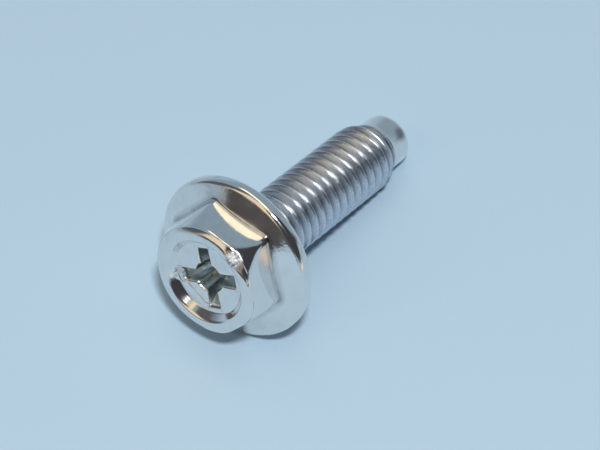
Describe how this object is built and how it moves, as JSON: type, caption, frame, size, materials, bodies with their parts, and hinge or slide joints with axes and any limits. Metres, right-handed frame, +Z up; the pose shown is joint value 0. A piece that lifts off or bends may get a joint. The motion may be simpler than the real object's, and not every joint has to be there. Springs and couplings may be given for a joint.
{
  "type": "screw",
  "caption": "Bright zinc-plated flanged hex screw with a dished head, a cross recess, a full-length right-hand metric thread and a plain pilot point.",
  "frame": {"origin": "on the surface that the screw lies on, below the middle of its length", "axes": "+X along the lying screw from head to tip, +Z up from the surface; the screw's own axis dips towards the tip"},
  "size_m": [0.0266, 0.0142, 0.0139],
  "materials": {
    "bright_zinc": "bright clear zinc plate on cold-headed steel, mirror-like on the head and satin on the rolled thread"
  },
  "bodies": {
    "root": {"screw": "bright_zinc"}
  },
  "joints": []
}
